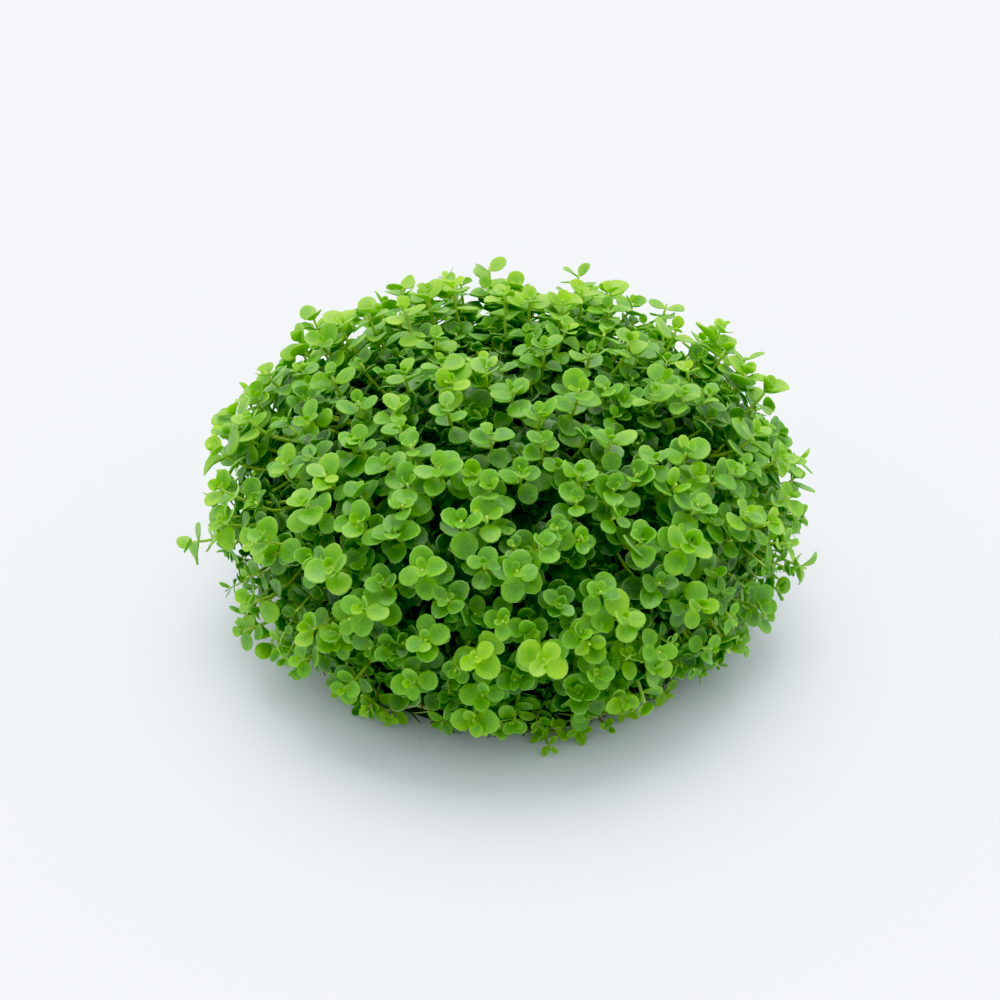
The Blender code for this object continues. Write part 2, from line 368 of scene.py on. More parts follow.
def new_group(name, inputs, outputs):
    group = bpy.data.node_groups.new(name, "ShaderNodeTree")
    for label, default in inputs.items():
        kind = "NodeSocketVector" if default is None else "NodeSocketFloat"
        socket = group.interface.new_socket(label, in_out="INPUT", socket_type=kind)
        if default is not None:
            socket.default_value = default
    for label in outputs:
        group.interface.new_socket(label, in_out="OUTPUT", socket_type="NodeSocketFloat")
    start, end = group.nodes.new("NodeGroupInput"), group.nodes.new("NodeGroupOutput")
    return group, start.outputs, end


def maths(operation, first, second=0.0, clamp=False):
    tree = (first if isinstance(first, bpy.types.NodeSocket) else second).id_data
    node = add_node(tree, "Math", operation=operation, use_clamp=clamp)
    return plug(node, i0=first, i1=second).outputs[0]


def times(first, second):
    return maths("MULTIPLY", first, second)


def minus(first, second):
    return maths("SUBTRACT", first, second)


def ease(value, low, high):
    """0 up to low, 1 from high, and smooth in between."""
    node = add_node(value.id_data, "MapRange", interpolation_type="SMOOTHSTEP")
    return plug(node, Value=value, From_Min=low, From_Max=high).outputs[0]


print("node helpers are ready")

# %% [markdown]
# A node group holds an effect that several materials use, each with its own values.
# The first gives a soft mottling and a fine grain, both on Object coordinates, so
# that they stay the same size on every piece.

# %% Mottle


def make_mottle_group():
    sizes = {"Patch Size": 250.0, "Grain Size": 2500.0}
    group, given, result = new_group("mottle", sizes, ["Patches", "Grain"])
    place = add_node(group, "TexCoord").outputs["Object"]
    patches = add_node(group, "TexNoise")
    plug(patches, Vector=place, Scale=given["Patch Size"], Detail=2.0, Roughness=0.5)
    grain = add_node(group, "TexNoise")
    plug(grain, Vector=place, Scale=given["Grain Size"], Detail=3.0, Roughness=0.6)
    plug(result, Patches=patches.outputs["Fac"], Grain=grain.outputs["Fac"])
    return group


mottle = make_mottle_group()
print("node group:", mottle.name)

# %% [markdown]
# The second group draws a leaf on the blade's own map, where x runs across the blade
# and y from its foot to its tip: the yellow-green foot, a thin pale rim that is a
# painted highlight, the midrib with its side veins, and a painted shading that runs
# from a darker middle to a lighter margin.

# %% The leaf drawing
VEIN_WAVES = 44.0  # about seven pairs of side veins
VEIN_SLANT = 0.9


def make_leaf_group():
    group, given, result = new_group("leaf_drawing", {"Map": None}, ["Foot", "Margin", "Ribs", "Dome"])
    split = plug(add_node(group, "SeparateXYZ"), Vector=given["Map"])
    across = maths("ABSOLUTE", minus(split.outputs[0], 0.5))
    up = split.outputs[1]
    rise = minus(up, 0.5)
    from_middle = maths("POWER", maths("ADD", times(across, across), times(rise, rise)), 0.5)
    inner = minus(1.0, ease(from_middle, 0.3, 0.44))
    midrib = minus(1.0, ease(across, 0.006, 0.03))
    wave = maths("SINE", times(minus(up, times(across, VEIN_SLANT)), VEIN_WAVES))
    veins = times(ease(wave, 0.55, 1.0), 0.45)
    ribs = maths("MAXIMUM", midrib, times(veins, inner))
    plug(result, Foot=minus(1.0, ease(up, 0.02, 0.42)), Margin=ease(from_middle, 0.43, 0.50),
         Ribs=times(ribs, inner), Dome=ease(from_middle, 0.05, 0.48))
    return group


leaf_drawing = make_leaf_group()
print("node group:", leaf_drawing.name)

# %% [markdown]
# ## Leaf, stem and root materials
# A leaf reflects green and also lets light through, so the leaves at the rim glow: a
# Principled BSDF with some sheen is mixed with a Translucent BSDF of a yellower
# green. The tone of each leaf, which also holds painted light and shade, moves its
# colour from an old deep green to a fresh lime. Patches and speckle shift it within
# the leaf, a painted shading darkens its middle and lightens its margin, and a pale
# rim along the edge is a painted highlight.

# %% The leaf material
OLD_GREEN = (0.008, 0.055, 0.0005)
MID_GREEN = (0.145, 0.460, 0.008)
LIME = (0.460, 0.800, 0.012)
FOOT_GREEN = (0.340, 0.600, 0.016)
# the paler green of the veins, also used for the painted highlight along the rim
VEIN_AND_HIGHLIGHT_GREEN = (0.390, 0.690, 0.160)
GLOW_OLD = (0.050, 0.260, 0.001)
GLOW_LIME = (0.560, 0.900, 0.010)
# the rim highlight is painted light; the foot and the ribs are the leaf's own colour
DRAWN_GREENS = (("Foot", 0.40, FOOT_GREEN), ("Margin", 0.45, VEIN_AND_HIGHLIGHT_GREEN), ("Ribs", 0.16, VEIN_AND_HIGHLIGHT_GREEN))


def new_material(name):
    material = bpy.data.materials.new(name)
    material.use_nodes = True
    tree = material.node_tree
    return material, tree, tree.nodes["Principled BSDF"], tree.nodes["Material Output"]


def blend_colours(factor, first, second):
    node = add_node(factor.id_data, "Mix", data_type="RGBA")
    ends = [end if isinstance(end, bpy.types.NodeSocket) else (*end, 1.0) for end in (first, second)]
    return plug(node, i0=factor, i6=ends[0], i7=ends[1]).outputs[2]


def tone_ramp(factor, colours):
    node = add_node(factor.id_data, "ValToRGB")
    ramp = node.color_ramp
    while len(ramp.elements) < len(colours):
        ramp.elements.new(0.5)
    for k, colour in enumerate(colours):
        ramp.elements[k].position = k / (len(colours) - 1)
        ramp.elements[k].color = (*colour, 1.0)
    return plug(node, Fac=factor).outputs["Color"]


def place_mottle(tree, patch_size, grain_size):
    spots = add_node(tree, "Group", node_tree=mottle)
    return plug(spots, Patch_Size=patch_size, Grain_Size=grain_size).outputs


def shift(value, amount):
    """A value from 0 to 1 as a shift of half the amount either way."""
    return times(minus(value, 0.5), amount)


def make_leaf_material():
    material, tree, shader, output = new_material("leaf")
    spots = place_mottle(tree, 420.0, 4300.0)
    drawn = add_node(tree, "Group", node_tree=leaf_drawing)
    drawn = plug(drawn, Map=add_node(tree, "UVMap", uv_map="blade").outputs["UV"]).outputs
    tone = add_node(tree, "Attribute", attribute_name="tone").outputs["Fac"]
    # painted shading: the middle of each leaf darker and its margin lighter
    toned_and_shaded = maths("ADD", tone, shift(drawn["Dome"], 0.16))
    spotted = maths("ADD", shift(spots["Patches"], 0.50), shift(spots["Grain"], 0.60))
    shade = maths("ADD", toned_and_shaded, spotted, clamp=True)
    colour = tone_ramp(shade, (OLD_GREEN, MID_GREEN, LIME))
    for feature, strength, green in DRAWN_GREENS:
        colour = blend_colours(times(drawn[feature], strength), colour, green)
    rough = maths("ADD", times(spots["Grain"], 0.25), 0.30)
    height = minus(times(spots["Grain"], 0.8), drawn["Ribs"])
    bump = plug(add_node(tree, "Bump"), Strength=0.5, Distance=0.00008, Height=height)
    plug(shader, Base_Color=colour, Roughness=rough, Normal=bump.outputs["Normal"])
    plug(shader, Specular_IOR_Level=0.75, Sheen_Weight=0.30, Sheen_Roughness=0.30)
    glow = tone_ramp(shade, (GLOW_OLD, GLOW_LIME))
    through = plug(add_node(tree, "BsdfTranslucent"), Color=glow)
    mixed = add_node(tree, "MixShader")
    plug(mixed, Fac=0.42, i1=shader.outputs[0], i2=through.outputs[0])
    plug(output, Surface=mixed.outputs[0])
    return material


leaf_look = make_leaf_material()
print("material:", leaf_look.name)

# %% [markdown]
# Stems and roots share one recipe: a young and an old colour, mixed by tone and by
# soft patches, with a fine grain raised on the surface. The mat is the roughest.

# %% Stem and root materials


def make_stem_material(name, young, old, rough, grain=4000.0, relief=0.00005):
    material, tree, shader, _ = new_material(name)
    spots = place_mottle(tree, grain / 8.0, grain)
    tone = add_node(tree, "Attribute", attribute_name="tone").outputs["Fac"]
    mixed = maths("ADD", tone, shift(spots["Patches"], 0.8), clamp=True)
    colour = blend_colours(mixed, old, young)
    bump = plug(add_node(tree, "Bump"), Strength=0.4, Distance=relief, Height=spots["Grain"])
    plug(shader, Base_Color=colour, Roughness=rough, Normal=bump.outputs["Normal"])
    return material


stem_look = make_stem_material("stem", (0.48, 0.70, 0.10), (0.13, 0.30, 0.02), 0.45)
runner_look = make_stem_material("creeping_stem", (0.46, 0.52, 0.20), (0.16, 0.16, 0.05), 0.55)
root_look = make_stem_material("root", (0.10, 0.075, 0.035), (0.014, 0.012, 0.006), 0.85)
mat_look = make_stem_material("root_mat", (0.13, 0.10, 0.05), (0.018, 0.016, 0.008), 0.9, 2400.0, 0.0006)
# painted shade: the mound is near black, for the shade deep in the tuft
old_growth_shade_look = make_stem_material("old_growth", (0.020, 0.045, 0.006), (0.004, 0.012, 0.002), 0.8)
old_stem_look = make_stem_material("old_stem", (0.105, 0.150, 0.030), (0.016, 0.030, 0.005), 0.7)
print("materials:", [look.name for look in bpy.data.materials])

# %% [markdown]
# ## Where the shoots are
# A shoot ends in a head, a rosette of small leaves. The heads that catch the eye in
# the photo are listed: the pixel of the head, how far it stands out in mm,
# which way its widest pair of leaves runs in the picture in degrees, the size of its
# leaves, and its tone. The pair's way in the picture becomes a way in space: it gets
# as much depth as it needs to stand square to the stem.

# %% Heads placed one by one
SEEN_HEADS = [
    # crown
    (579, 389, 2, 5, 1.1, 0.67), (491, 433, 1.4, 25, 1, 0.6), (512, 389, 1, 31, 0.95, 0.6),
    (486, 367, 1.5, 3, 1.1, 0.6), (441, 361, 1.5, 145, 1.1, 0.6), (404, 371, 1.5, 152, 1, 0.6),
    (447, 405, 1.4, 0, 0.9, 0.6), (358, 401, 1.2, 10, 1, 0.57), (399, 426, 1, 0, 0.9, 0.57),
    (358, 440, 1.2, 170, 1, 0.6), (411, 445, 1.1, 5, 0.95, 0.6), (387, 462, 1.2, 132, 1, 0.6),
    (439, 468, 1.7, 175, 1.12, 0.6), (407, 484, 1.2, 5, 1, 0.57), (544, 441, 1, 150, 0.8, 0.6),
    (611, 438, 1.5, 15, 1.05, 0.6), (580, 472, 1.7, 60, 1.1, 0.6), (637, 474, 1.2, 160, 1, 0.6),
    (656, 459, 1.2, 135, 0.9, 0.6), (521, 471, 0.8, 20, 0.95, 0.57), (490, 488, 0.9, 90, 1, 0.57),
    (630, 340, 1.2, 20, 0.95, 0.6), (545, 345, 0.9, 10, 0.95, 0.57), (590, 352, 0.9, 170, 0.95, 0.57),
    (655, 390, 1.2, 15, 1, 0.57), (540, 412, 0.8, 5, 1, 0.57), (330, 372, 1, 10, 0.95, 0.6),
    # shoulder
    (461, 521, 1.5, 90, 1.05, 0.6), (402, 505, 1.5, 20, 1.1, 0.6), (358, 521, 1.7, 145, 1.05, 0.63),
    (541, 543, 2, 135, 1.12, 0.61), (517, 571, 1.2, 80, 1, 0.58), (557, 528, 0.8, 10, 0.8, 0.6),
    (577, 501, 0.4, 0, 1, 0.54), (614, 489, 0.6, 160, 1.1, 0.49), (643, 539, 1.2, 100, 1.12, 0.57),
    (304, 502, 2, 120, 1.1, 0.66), (261, 538, 1.8, 70, 1.1, 0.68), (330, 567, 2, 100, 1.12, 0.72),
    (394, 531, 0.9, 10, 1, 0.57), (283, 463, 1.2, 0, 1, 0.63), (350, 441, 0.8, 60, 1, 0.57),
    (688, 449, 1.7, 10, 1.1, 0.63), (698, 505, 1.5, 149, 1.1, 0.57), (690, 543, 2.4, 150, 1.12, 0.69),
    (735, 470, 1.2, 30, 1, 0.63), (748, 512, 1.5, 60, 0.95, 0.68), (772, 521, 1.8, 160, 0.95, 0.74),
    (660, 583, 0.4, 90, 1.12, 0.41), (601, 592, 1.2, 60, 0.95, 0.55), (311, 563, 0.9, 60, 1, 0.55),
    # front
    (362, 607, 2, 147, 1.1, 0.69), (422, 570, 1.8, 100, 1.1, 0.63), (484, 564, 0.9, 90, 0.9, 0.55),
    (625, 618, 2.2, 100, 1.12, 0.74), (701, 606, 1.5, 90, 1, 0.69), (503, 621, 1.2, 0, 0.9, 0.61),
    (476, 658, 2.2, 137, 1.12, 0.85), (544, 660, 2.2, 134, 1.12, 0.86), (425, 640, 1.2, 20, 1, 0.63),
    (411, 684, 1.4, 0, 0.9, 0.69), (473, 722, 1.2, 5, 1.05, 0.72), (482, 696, 0.8, 0, 1, 0.61),
    (309, 628, 1.4, 80, 0.9, 0.72), (248, 600, 1.5, 40, 0.95, 0.69), (581, 632, 0.9, 30, 1, 0.61),
    (344, 688, 0.9, 80, 0.85, 0.61), (597, 674, 0.9, 120, 0.85, 0.61), (660, 652, 1.2, 110, 0.9, 0.66),
    (382, 583, 0.8, 100, 1, 0.52), (448, 600, 0.6, 40, 0.9, 0.47), (560, 604, 0.6, 60, 0.9, 0.47),
    (300, 660, 1, 100, 0.85, 0.61),
    # rim, from the left over the back to the right: fresher growth, lighter with painted light through it
    (240, 632, 1.2, 95, 0.85, 0.69), (222, 522, 1, 100, 0.95, 0.71), (218, 487, 1.5, 60, 1, 0.74),
    (217, 449, 1.7, 35, 1.1, 0.74), (232, 413, 1.8, 50, 1.05, 0.74), (248, 418, 1.2, 70, 0.95, 0.71),
    (266, 372, 1.5, 20, 1, 0.71), (298, 340, 1.2, 25, 0.95, 0.68), (340, 322, 1.5, 35, 1.1, 0.77),
    (367, 309, 1.5, 15, 1.1, 0.77), (405, 308, 1.7, 10, 1.1, 0.79), (427, 288, 2, 40, 1.05, 0.77),
    (453, 284, 1.8, 150, 1.1, 0.79), (505, 292, 1.7, 25, 1, 0.74), (530, 298, 1.4, 10, 0.95, 0.71),
    (563, 300, 1.5, 80, 1.05, 0.79), (583, 291, 1.7, 20, 0.85, 0.74), (610, 291, 2, 150, 1.12, 0.74),
    (677, 327, 1.5, 170, 1.12, 0.77), (722, 327, 2.5, 165, 1.12, 0.74), (728, 346, 1.4, 155, 1.1, 0.71),
    (770, 386, 1.7, 120, 1.05, 0.77), (748, 372, 1, 140, 1.05, 0.68), (782, 456, 1, 100, 0.95, 0.71),
    (793, 496, 1, 120, 0.85, 0.66), (757, 432, 0.9, 30, 1, 0.66), (712, 650, 0.9, 60, 0.72, 0.6),
]
RISE_OF_HEADS = 0.36  # how far the heads turn up from the way out of the form


def axis_of_head(out):
    """Heads look outwards and up towards the light."""
    return unit(out * (1.0 - RISE_OF_HEADS) + UP * RISE_OF_HEADS)


def bearing_and_level(points):
    away = points - WAIST
    flat = np.hypot(away[..., 0], away[..., 1])
    return np.degrees(np.arctan2(away[..., 1], away[..., 0])), np.degrees(np.arctan2(away[..., 2], flat))


seen = np.array(SEEN_HEADS, float)
seen_at = np.array([meet_form(x, y, lift * MM) for x, y, lift in seen[:, :3]])
seen_out = on_form(*bearing_and_level(seen_at))[1]
seen_axis = axis_of_head(seen_out)
turn = np.radians(seen[:, 3])
in_picture = np.cos(turn)[:, None] * view_right + np.sin(turn)[:, None] * view_up
slant = (in_picture * seen_axis).sum(-1) / (way_to_camera * seen_axis).sum(-1)
seen_pair = unit(in_picture - slant[:, None] * way_to_camera)
print("heads placed by eye:", len(seen))

# %% [markdown]
# Between clumps of shoots the tuft has hollows with a dark ground. The first list has
# those that the solid cushion has too, and the second the small ones that only show
# between single heads in the photo. Heads sink where a hollow is.

# %% Hollows between the heads
HOLLOWS = [  # bearing and level, as in the solid cushion
    (-67, 25), (-86, 18), (-107, 19), (-129, 19), (-112, 40), (-117, 56), (-50, 15), (-58, 44),
    (-28, 44), (-160, 44), (-85, 43), (-50, 73), (-134, 4),
    (-22, 14), (-2, 30), (22, 6), (48, 12), (57, 45), (92, 14), (108, 47), (135, 10), (158, 45),
    (155, -1), (-176, 30), (-156, 12), (100, 72), (20, 66), (-175, 60),
]
SMALL_HOLLOWS = [  # pixel, and how wide in mm
    (470, 592, 3.0), (545, 608, 3.4), (578, 624, 2.6), (413, 614, 2.6), (385, 556, 3.0), (370, 376, 2.4),
    (415, 400, 2.4), (485, 410, 2.2), (590, 410, 2.0), (415, 465, 2.0), (440, 497, 2.2), (676, 498, 2.6),
    (650, 495, 2.2), (500, 562, 2.4), (292, 612, 2.8), (545, 505, 2.4), (640, 575, 2.6), (692, 595, 2.4),
    (418, 703, 3.4), (372, 690, 2.6), (540, 712, 2.4), (600, 700, 2.6),
]
HOLLOW_RADIUS = 3.8 * MM
HOLLOW_DEPTH = 5.0 * MM
at = np.array(HOLLOWS, float).T
hollow_middles = np.concatenate([on_form(*at)[0], [meet_form(x, y, 0.0) for x, y, _ in SMALL_HOLLOWS]])
hollow_radii = np.array([HOLLOW_RADIUS / MM] * len(HOLLOWS) + [wide for _, _, wide in SMALL_HOLLOWS]) * MM
print("hollows:", len(hollow_radii))

# %% [markdown]
# The other heads fill the form round these. They are spread evenly in a sunflower
# pattern, with some more round the skirt, then shifted and sunk by chance, so that
# some stand out and dark gaps open between them. At the front left the mat shows
# under the rim, so no low heads grow there.

# %% Heads that fill the form
FILL_HEADS, FILL_LEVELS = 620, (-25.0, 89.0)
SKIRT_HEADS, SKIRT_LEVELS = 110, (-28.0, 6.0)
SHIFT = 2.6  # degrees
LOWEST_LEVEL = -27.0
STANDING_OUT = 0.25  # share of the heads that stand above the others
HIGH_SINK, LOW_SINK = (-0.9, 0.4), (0.3, 3.6)  # mm under the form
ROOM_ROUND_SEEN = 3.2 * MM
DEEPEST_HEAD = 7.0 * MM
LOWEST_HEAD = 2.4 * MM
BARE_EDGE = (234.0, 259.0)  # bearings where the mat shows
BARE_HEIGHT = 7.5 * MM


def even_places(count, lowest, highest):
    """Bearings and levels spread evenly over the form."""
    levels = np.linspace(lowest, highest, 2000)
    outline = on_form(np.zeros(2000), levels)[0]
    step = np.linalg.norm(np.diff(outline, axis=0), axis=-1)
    passed = np.cumsum(0.5 * (outline[1:, 0] + outline[:-1, 0]) * step)
    at = np.interp((np.arange(count) + 0.5) / count, passed / passed[-1], levels[1:])
    return 180.0 * (3.0 - math.sqrt(5.0)) * np.arange(count) % 360.0, at


bearing, level = even_places(FILL_HEADS, *FILL_LEVELS)
bearing = bearing + spread(SHIFT, FILL_HEADS) / np.maximum(np.cos(np.radians(level)), 0.15)
level = np.clip(level + spread(SHIFT, FILL_HEADS), LOWEST_LEVEL, 90.0)
bearing = np.concatenate([bearing, some(0.0, 360.0, SKIRT_HEADS)])
level = np.concatenate([level, some(*SKIRT_LEVELS, SKIRT_HEADS)])
count = len(bearing)
high = dice.random(count) < STANDING_OUT
sink = np.where(high, some(*HIGH_SINK, count), some(*LOW_SINK, count)) * MM
places = on_form(bearing, level)[0]
for middle, radius in zip(hollow_middles, hollow_radii):
    near = np.linalg.norm(places - middle, axis=-1) / radius
    sink = sink + HOLLOW_DEPTH * np.clip(1.0 - near**2, 0.0, 1.0)
sink = np.minimum(sink, DEEPEST_HEAD)
fill_at, fill_out = on_form(bearing, level, sink)
gaps = np.linalg.norm(fill_at[:, None] - seen_at[None], axis=-1).min(1)
bare = (bearing % 360.0 > BARE_EDGE[0]) & (bearing % 360.0 < BARE_EDGE[1]) & (fill_at[:, 2] < BARE_HEIGHT)
free = (gaps > ROOM_ROUND_SEEN) & (fill_at[:, 2] > LOWEST_HEAD) & ~bare
fill_at, fill_out, sink = fill_at[free], fill_out[free], sink[free]
print("heads that fill the form:", len(fill_at))

# %% [markdown]
# Low on the flanks and the back most shoots hang over the rim. They are thinner,
# with smaller and slimmer leaves. Heads that stand out get painted light, a little
# lighter tone, and so do those near the table, where light comes back up from it.

# %% Turn and tone of the heads
HANGING_BELOW = 9.0  # level in degrees
FRONT_HALF = 27.0  # bearing to each side of the front
HANGING_SHARE = 0.80
HANGING_SIZE = 0.80
HANGING_SLIM = (0.52, 0.80)
FILL_TONE, TONE_SPREAD = 0.58, 0.08
HIGH_LIGHTER, LOW_LIGHTER = 0.08, 0.03


def turned_by_chance(axis):
    return unit(np.cross(axis, spread(1.0, axis.shape)))


bearing, level = bearing_and_level(fill_at)
from_front = np.abs((bearing + 270.0) % 360.0 - 180.0)
hanging = (level < HANGING_BELOW) & (from_front > FRONT_HALF) & (dice.random(len(level)) < HANGING_SHARE)
fill_axis = axis_of_head(fill_out)
fill_axis[hanging] = unit(fill_out[hanging] - UP * some(0.1, 1.1, (hanging.sum(), 1)))
fill_axis = unit(fill_axis + spread(0.30, fill_out.shape))
fill_pair = turned_by_chance(fill_axis)
fill_size = some(0.76, 1.06, len(fill_at)) * np.where(hanging, HANGING_SIZE, 1.0)
fill_slim = np.where(hanging, some(*HANGING_SLIM, len(fill_at)), 1.0)
# painted light on the heads that stand out and on those near the table
fill_tone = FILL_TONE + spread(TONE_SPREAD, len(fill_at)) + HIGH_LIGHTER * (sink < 0.2 * MM)
fill_tone += LOW_LIGHTER * np.clip(1.0 - (fill_at[:, 2] / MM - 2.0) / 14.0, 0.0, 1.0)
print("hanging heads:", hanging.sum())

# %% [markdown]
# ## Growing the shoots
# Each stem starts deep in the tuft and curves out to its head. Going down from the
# tip it carries crossed pairs of leaves: a tiny closed pair, a small pair that still
# leans in, a full pair that is nearly flat, and older pairs further apart.

# %% Stems and crossed pairs of leaves
LEAF_LENGTH = 3.2 * MM
STEM_RADIUS = 0.25 * MM
SHOOT_DEPTH = 9.5 * MM
PAIRS = 6
AGES = (0.0, 1.0, 2.0, 3.0, 6.0)  # of a pair, counted in pairs from the tip
SIZE_AT_AGE = (0.13, 0.50, 0.90, 1.00, 0.92)
LEAN_AT_AGE = (14.0, 40.0, 62.0, 74.0, 92.0)  # degrees away from the tip
WAY_DOWN_AT_AGE = (0.0, 0.10, 0.32, 1.00, 4.00)  # in internodes
INTERNODES = (1.7 * MM, 3.1 * MM)
FACE_UP = 0.50
MISSING_LEAVES = 0.06


def curve_points(start, control, end, t):
    """Points of the curves at t, and the way ahead there."""
    t = t[..., None]
    points = (1 - t) ** 2 * start + 2 * (1 - t) * t * control + t * t * end
    return points, unit((1 - t) * (control - start) + t * (end - control))


def bent_paths(start, control, end, rings):
    steps = np.linspace(0.0, 1.0, rings)[None, :]
    return curve_points(start[:, None], control[:, None], end[:, None], steps)[0]


def bent_tubes(tube, rings, start, control, end, radii, tip):
    """Tubes along curves that get thinner to the tip. The radii are in mm."""
    radii = radii[:, None] * MM * np.linspace(1.0, tip, rings)[None]
    return lay_tubes(tube, bent_paths(start, control, end, rings), radii, np.cross(start, UP))


def leaf_of_pair(at, ahead, side, sign, age, size, slim):
    """The numbers of one leaf of a pair, on each shoot."""
    shoots = len(at)
    lean = np.radians(np.interp(age, AGES, LEAN_AT_AGE) + spread(14.0, shoots))[:, None]
    along = ahead * np.cos(lean) + side * sign * np.sin(lean)
    over = ahead * np.sin(lean) - side * sign * np.cos(lean)
    over = over + FACE_UP * UP + spread(0.22, over.shape)
    over = unit(over - along * (over * along).sum(-1, keepdims=True))
    length = LEAF_LENGTH * size * np.interp(age, AGES, SIZE_AT_AGE)
    return {
        "foot": at + side * sign * STEM_RADIUS * 0.5,
        "along": along,
        "over": over,
        "length": length * some(0.80, 1.08, shoots),
        "width": some(0.78, 1.00, shoots) * slim,
        "cup": dice.normal(0.10, 0.28, shoots) + 0.2 * (age < 1.5),
        "arch": dice.normal(0.06, 0.10, shoots) + 0.08 * (age > 2.5),
        "fold": dice.normal(0.05, 0.08, shoots),
        "tone": spread(0.05, shoots),
        "kept": dice.random(shoots) > MISSING_LEAVES * (age > 2.2),
    }


print("pairs of a shoot:", PAIRS)

# %% [markdown]
# Leaves get darker with their age, and a painted shade darkens them with their depth
# in the tuft, less so in the outer shoots at the sides and behind, where light comes
# through. The smallest ones at the tip are the lightest. Some old leaves are missing.

# %% Whole shoots
PAINTED_SHADE_PER_MM = 0.080
DARKER_PER_AGE = 0.02
TIP_LIGHTER = 0.06
LIT_THROUGH = 0.55  # share of the darkening with depth that this light takes away
DIM_MIDDLE = 12.0 * MM  # in front of the axis
DIM_RADIUS, LIT_WIDTH = 18.0, 22.0  # mm


# painted shade: the deeper a leaf lies in the tuft, the darker its tone
def painted_depth_shade(at, deep):
    away = np.hypot(at[:, 0], at[:, 1] + DIM_MIDDLE) / MM
    outer = np.clip((away - DIM_RADIUS) / LIT_WIDTH, 0.0, 1.0)
    return PAINTED_SHADE_PER_MM * (1.0 - LIT_THROUGH * outer) * np.maximum(deep, 0.0)


def start_inside(bearing, level):
    """Deep in the tuft and nearer to its crown than the head."""
    return on_form(bearing, level * 0.88 + 7.0, SHOOT_DEPTH)[0]


def grow_shoots(head, axis, pair, size, tone, start=None, stage=None, slim=1.0):
    """Stem paths and a row of numbers for each leaf of the shoots that end at these heads."""
    shoots = len(head)
    if start is None:
        bearing, level = bearing_and_level(head)
        bearing = bearing + spread(4.0, shoots)
        start = start_inside(bearing, level)
    reach = np.linalg.norm(head - start, axis=-1)
    control = head - axis * (reach * some(0.35, 0.6, shoots))[:, None]
    paths = bent_paths(start, control, head, STEM_RINGS)
    length = np.linalg.norm(np.diff(paths, axis=1), axis=-1).sum(1)
    internode = some(*INTERNODES, shoots) * size
    stage = dice.random(shoots) if stage is None else np.full(shoots, stage)
    rows = []
    for k in range(PAIRS):
        age = k + stage
        below = np.interp(age, AGES, WAY_DOWN_AT_AGE) * internode * some(0.9, 1.1, shoots)
        kept = below < length - 0.6 * MM
        at, ahead = curve_points(start, control, head, 1.0 - np.clip(below / length, 0.0, 1.0))
        deep = inset_of(at) / MM
        # darker with age, darker still with depth as painted shade, and a lighter tip pair
        aged_and_shaded = tone - painted_depth_shade(at, deep) - DARKER_PER_AGE * age + TIP_LIGHTER * (age < 1.2)
        side = unit(pair - ahead * (pair * ahead).sum(-1, keepdims=True))
        turned = np.radians(90.0 * (k % 2) + spread(13.0, shoots))[:, None]
        side = side * np.cos(turned) + np.cross(ahead, side) * np.sin(turned)
        for sign in (1.0, -1.0):
            row = leaf_of_pair(at, ahead, side, sign, age, size, slim)
            row.update(tone=aged_and_shaded + row["tone"], kept=kept & row["kept"], shoot=np.arange(shoots), deep=deep)
            rows.append(row)
    leaves = {key: np.concatenate([row[key] for row in rows]) for key in rows[0]}
    leaves["tone"] = np.clip(leaves["tone"], 0.0, 1.0)
    leaves = {key: value[leaves["kept"]] for key, value in leaves.items()}
    return paths, leaves


print("leaves of a shoot, at most:", 2 * PAIRS)

# %% [markdown]
# All heads now grow their shoots. The tuft is darker at the front and lighter behind,
# as the light falls on it. A leaf that would dip into the table is left out.

# %% Grow the cushion's shoots
DEEP_LEAF = 4.5  # mm under the leaf tips
TABLE_GAP = 0.05 * MM
FRONT_TO_BACK = (-28.0, 0.0, 26.0)  # mm
TONE_SHIFT = (-0.06, 0.01, 0.12)


def shoot_parts(paths, leaves, across, tone, radius=STEM_RADIUS):
    """The leaves and the stems of some shoots, ready to join."""
    shape = ("foot", "along", "over", "length", "width", "cup", "arch", "fold")
    parts = []
    for template, mine in ((blade, leaves["deep"] <= DEEP_LEAF), (deep_blade, leaves["deep"] > DEEP_LEAF)):
        placed = place_blades(template, *[leaves[key][mine] for key in shape])
        clear = placed[..., 2].min(1) > TABLE_GAP
        parts.append((template, placed[clear], LEAF_SLOT, leaves["tone"][mine][clear]))
    radii = np.linspace(1.15, 0.75, STEM_RINGS)[None] * np.broadcast_to(radius, len(paths))[:, None]
    tubes = lay_tubes(stem_tube, paths, radii, across)
    return parts + [(stem_tube, tubes, STEM_SLOT, tone)]


heads = np.concatenate([seen_at, fill_at])
axes = np.concatenate([seen_axis, fill_axis])
pairs = np.concatenate([seen_pair, fill_pair])
sizes = np.concatenate([seen[:, 4], fill_size])
tones = np.concatenate([seen[:, 5], fill_tone])
tones = tones + np.interp(heads[:, 1] / MM, FRONT_TO_BACK, TONE_SHIFT)
slims = np.concatenate([np.ones(len(seen)), fill_slim])
paths, leaves = grow_shoots(heads, axes, pairs, sizes, tones, slim=slims)
print("shoots:", len(heads), "leaves:", len(leaves["foot"]))

# %% [markdown]
# ## The cushion in six pieces
# The shoots are joined in six sectors round the tuft, so that no piece is too heavy.
# Together they stand for the solid cushion.

# %% Join the shoots by sector
SECTORS = ("right", "back_right", "back_left", "left", "front_left", "front_right")
sector_of = ((bearing_and_level(heads)[0] + 390.0) % 360.0 // 60.0).astype(int)
